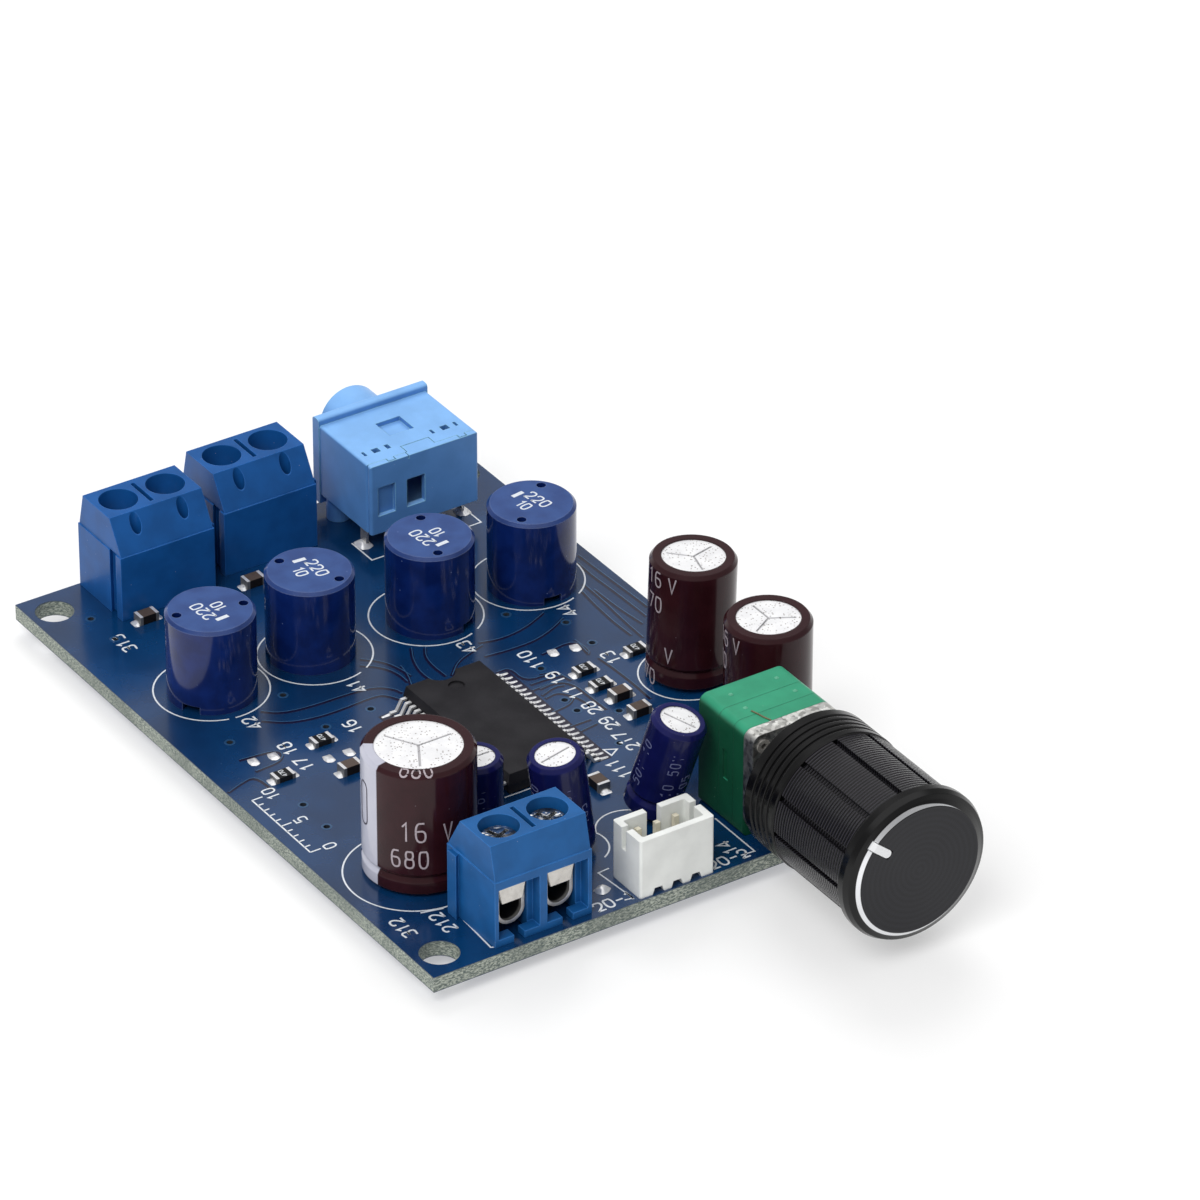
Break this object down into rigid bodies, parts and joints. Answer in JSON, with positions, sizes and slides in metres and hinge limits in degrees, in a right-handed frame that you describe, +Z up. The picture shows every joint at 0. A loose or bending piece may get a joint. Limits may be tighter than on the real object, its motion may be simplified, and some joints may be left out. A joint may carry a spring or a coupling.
{
  "type": "audio amplifier board",
  "caption": "Stereo audio amplifier board with screw terminals, input header, headphone jack, filter coils, capacitors and a volume knob.",
  "frame": {"origin": "centre of the four mounting holes, on the underside of the circuit board", "axes": "+X along the front edge towards the knob, +Y from the knob's edge to the loudspeaker terminals, +Z up out of the board's populated side"},
  "size_m": [0.0508, 0.0928, 0.0168],
  "materials": {
    "board": "glossy blue mask over glass fibre",
    "solder": "bright tin",
    "terminal_front": "moulded, satin",
    "terminal_back": "moulded, satin",
    "plated_metal": "nickel plated",
    "header_nylon": "moulded, satin",
    "tinned_pins": "tinned",
    "chip_resin": "moulded, fine matt",
    "inductor_shell": "moulded, glossy sides",
    "ferrite": "sintered, matt",
    "copper": "enamelled wire",
    "brown_sleeve": "shrunk film",
    "blue_sleeve": "shrunk film",
    "can": "bright drawn",
    "seal": "matt",
    "jack_plastic": "moulded, satin",
    "deck_green": "moulded, satin",
    "zinc": "die cast, matt",
    "shaft_metal": "turned",
    "knob_black": "black anodised with a bright cut chamfer",
    "resistor_body": "glazed black",
    "capacitor_body": "matt"
  },
  "bodies": {
    "board": {"circuit_board": "board", "solder_joints": "solder", "power_terminal_housing": "terminal_front", "left_speaker_terminal_housing": "terminal_back", "right_speaker_terminal_housing": "terminal_back", "power_terminal_cages": "plated_metal", "left_speaker_terminal_cages": "plated_metal", "right_speaker_terminal_cages": "plated_metal", "header_housing": "header_nylon", "header_pins": "tinned_pins", "amplifier_chip_body": "chip_resin", "amplifier_chip_leads": "tinned_pins", "inductor_cap_1": "inductor_shell", "inductor_cap_2": "inductor_shell", "inductor_cap_3": "inductor_shell", "inductor_cap_4": "inductor_shell", "inductor_cores": "ferrite", "inductor_windings": "copper", "inductor_leads": "tinned_pins", "large_capacitor_sleeve": "brown_sleeve", "large_capacitor_can": "can", "front_capacitor_sleeve": "brown_sleeve", "front_capacitor_can": "can", "rear_capacitor_sleeve": "brown_sleeve", "rear_capacitor_can": "can", "short_capacitor_sleeve": "blue_sleeve", "short_capacitor_can": "can", "left_small_capacitor_sleeve": "blue_sleeve", "left_small_capacitor_can": "can", "right_small_capacitor_sleeve": "blue_sleeve", "right_small_capacitor_can": "can", "capacitor_bungs": "seal", "capacitor_leads": "tinned_pins", "jack_housing": "jack_plastic", "jack_rear_cover": "jack_plastic", "jack_contacts": "plated_metal", "potentiometer_rear_cover": "deck_green", "potentiometer_rear_deck": "deck_green", "potentiometer_front_deck": "deck_green", "potentiometer_front_plate": "zinc", "potentiometer_rivets": "plated_metal", "potentiometer_pins": "tinned_pins", "chip_resistor_bodies": "resistor_body", "chip_capacitor_bodies": "capacitor_body", "chip_end_caps": "tinned_pins"},
    "knob": {"volume_knob": "knob_black", "potentiometer_shaft": "shaft_metal"},
    "power_wire_guard_1_body": {"power_wire_guard_1": "plated_metal"},
    "power_screw_1_body": {"power_screw_1": "plated_metal"},
    "power_wire_guard_2_body": {"power_wire_guard_2": "plated_metal"},
    "power_screw_2_body": {"power_screw_2": "plated_metal"},
    "left_speaker_wire_guard_1_body": {"left_speaker_wire_guard_1": "plated_metal"},
    "left_speaker_screw_1_body": {"left_speaker_screw_1": "plated_metal"},
    "left_speaker_wire_guard_2_body": {"left_speaker_wire_guard_2": "plated_metal"},
    "left_speaker_screw_2_body": {"left_speaker_screw_2": "plated_metal"},
    "right_speaker_wire_guard_1_body": {"right_speaker_wire_guard_1": "plated_metal"},
    "right_speaker_screw_1_body": {"right_speaker_screw_1": "plated_metal"},
    "right_speaker_wire_guard_2_body": {"right_speaker_wire_guard_2": "plated_metal"},
    "right_speaker_screw_2_body": {"right_speaker_screw_2": "plated_metal"}
  },
  "joints": [
    {"name": "volume_turn", "type": "hinge", "parent": "board", "child": "knob", "pos_m": [0.0146, -0.0345, 0.00805], "axis": [0, 1, 0], "range_deg": [-100, 200]},
    {"name": "power_wire_guard_1_slide", "type": "slide", "parent": "board", "child": "power_wire_guard_1_body", "axis": [0, 0, -1], "range_m": [0, 0.0014]},
    {"name": "power_screw_1_turn", "type": "hinge", "parent": "power_wire_guard_1_body", "child": "power_screw_1_body", "pos_m": [-0.01553, -0.03238, 0.01075], "axis": [0, 0, -1], "range_deg": [0, 1010]},
    {"name": "power_wire_guard_2_slide", "type": "slide", "parent": "board", "child": "power_wire_guard_2_body", "axis": [0, 0, -1], "range_m": [0, 0.0014]},
    {"name": "power_screw_2_turn", "type": "hinge", "parent": "power_wire_guard_2_body", "child": "power_screw_2_body", "pos_m": [-0.01045, -0.03238, 0.01075], "axis": [0, 0, -1], "range_deg": [0, 1010]},
    {"name": "left_speaker_wire_guard_1_slide", "type": "slide", "parent": "board", "child": "left_speaker_wire_guard_1_body", "axis": [0, 0, -1], "range_m": [-0.0014, 0]},
    {"name": "left_speaker_screw_1_turn", "type": "hinge", "parent": "left_speaker_wire_guard_1_body", "child": "left_speaker_screw_1_body", "pos_m": [-0.01046, 0.03301, 0.00935], "axis": [0, 0, -1], "range_deg": [-1010, 0]},
    {"name": "left_speaker_wire_guard_2_slide", "type": "slide", "parent": "board", "child": "left_speaker_wire_guard_2_body", "axis": [0, 0, -1], "range_m": [-0.0014, 0]},
    {"name": "left_speaker_screw_2_turn", "type": "hinge", "parent": "left_speaker_wire_guard_2_body", "child": "left_speaker_screw_2_body", "pos_m": [-0.01554, 0.03301, 0.00935], "axis": [0, 0, -1], "range_deg": [-1010, 0]},
    {"name": "right_speaker_wire_guard_1_slide", "type": "slide", "parent": "board", "child": "right_speaker_wire_guard_1_body", "axis": [0, 0, -1], "range_m": [-0.0014, 0]},
    {"name": "right_speaker_screw_1_turn", "type": "hinge", "parent": "right_speaker_wire_guard_1_body", "child": "right_speaker_screw_1_body", "pos_m": [0.00168, 0.03451, 0.00935], "axis": [0, 0, -1], "range_deg": [-1010, 0]},
    {"name": "right_speaker_wire_guard_2_slide", "type": "slide", "parent": "board", "child": "right_speaker_wire_guard_2_body", "axis": [0, 0, -1], "range_m": [-0.0014, 0]},
    {"name": "right_speaker_screw_2_turn", "type": "hinge", "parent": "right_speaker_wire_guard_2_body", "child": "right_speaker_screw_2_body", "pos_m": [-0.0034, 0.03451, 0.00935], "axis": [0, 0, -1], "range_deg": [-1010, 0]}
  ],
  "couplings": [
    {"joint": "power_screw_1_turn", "follows": "power_wire_guard_1_slide", "rad_per_m": 12566},
    {"joint": "power_screw_2_turn", "follows": "power_wire_guard_2_slide", "rad_per_m": 12566},
    {"joint": "left_speaker_screw_1_turn", "follows": "left_speaker_wire_guard_1_slide", "rad_per_m": 12566},
    {"joint": "left_speaker_screw_2_turn", "follows": "left_speaker_wire_guard_2_slide", "rad_per_m": 12566},
    {"joint": "right_speaker_screw_1_turn", "follows": "right_speaker_wire_guard_1_slide", "rad_per_m": 12566},
    {"joint": "right_speaker_screw_2_turn", "follows": "right_speaker_wire_guard_2_slide", "rad_per_m": 12566}
  ]
}
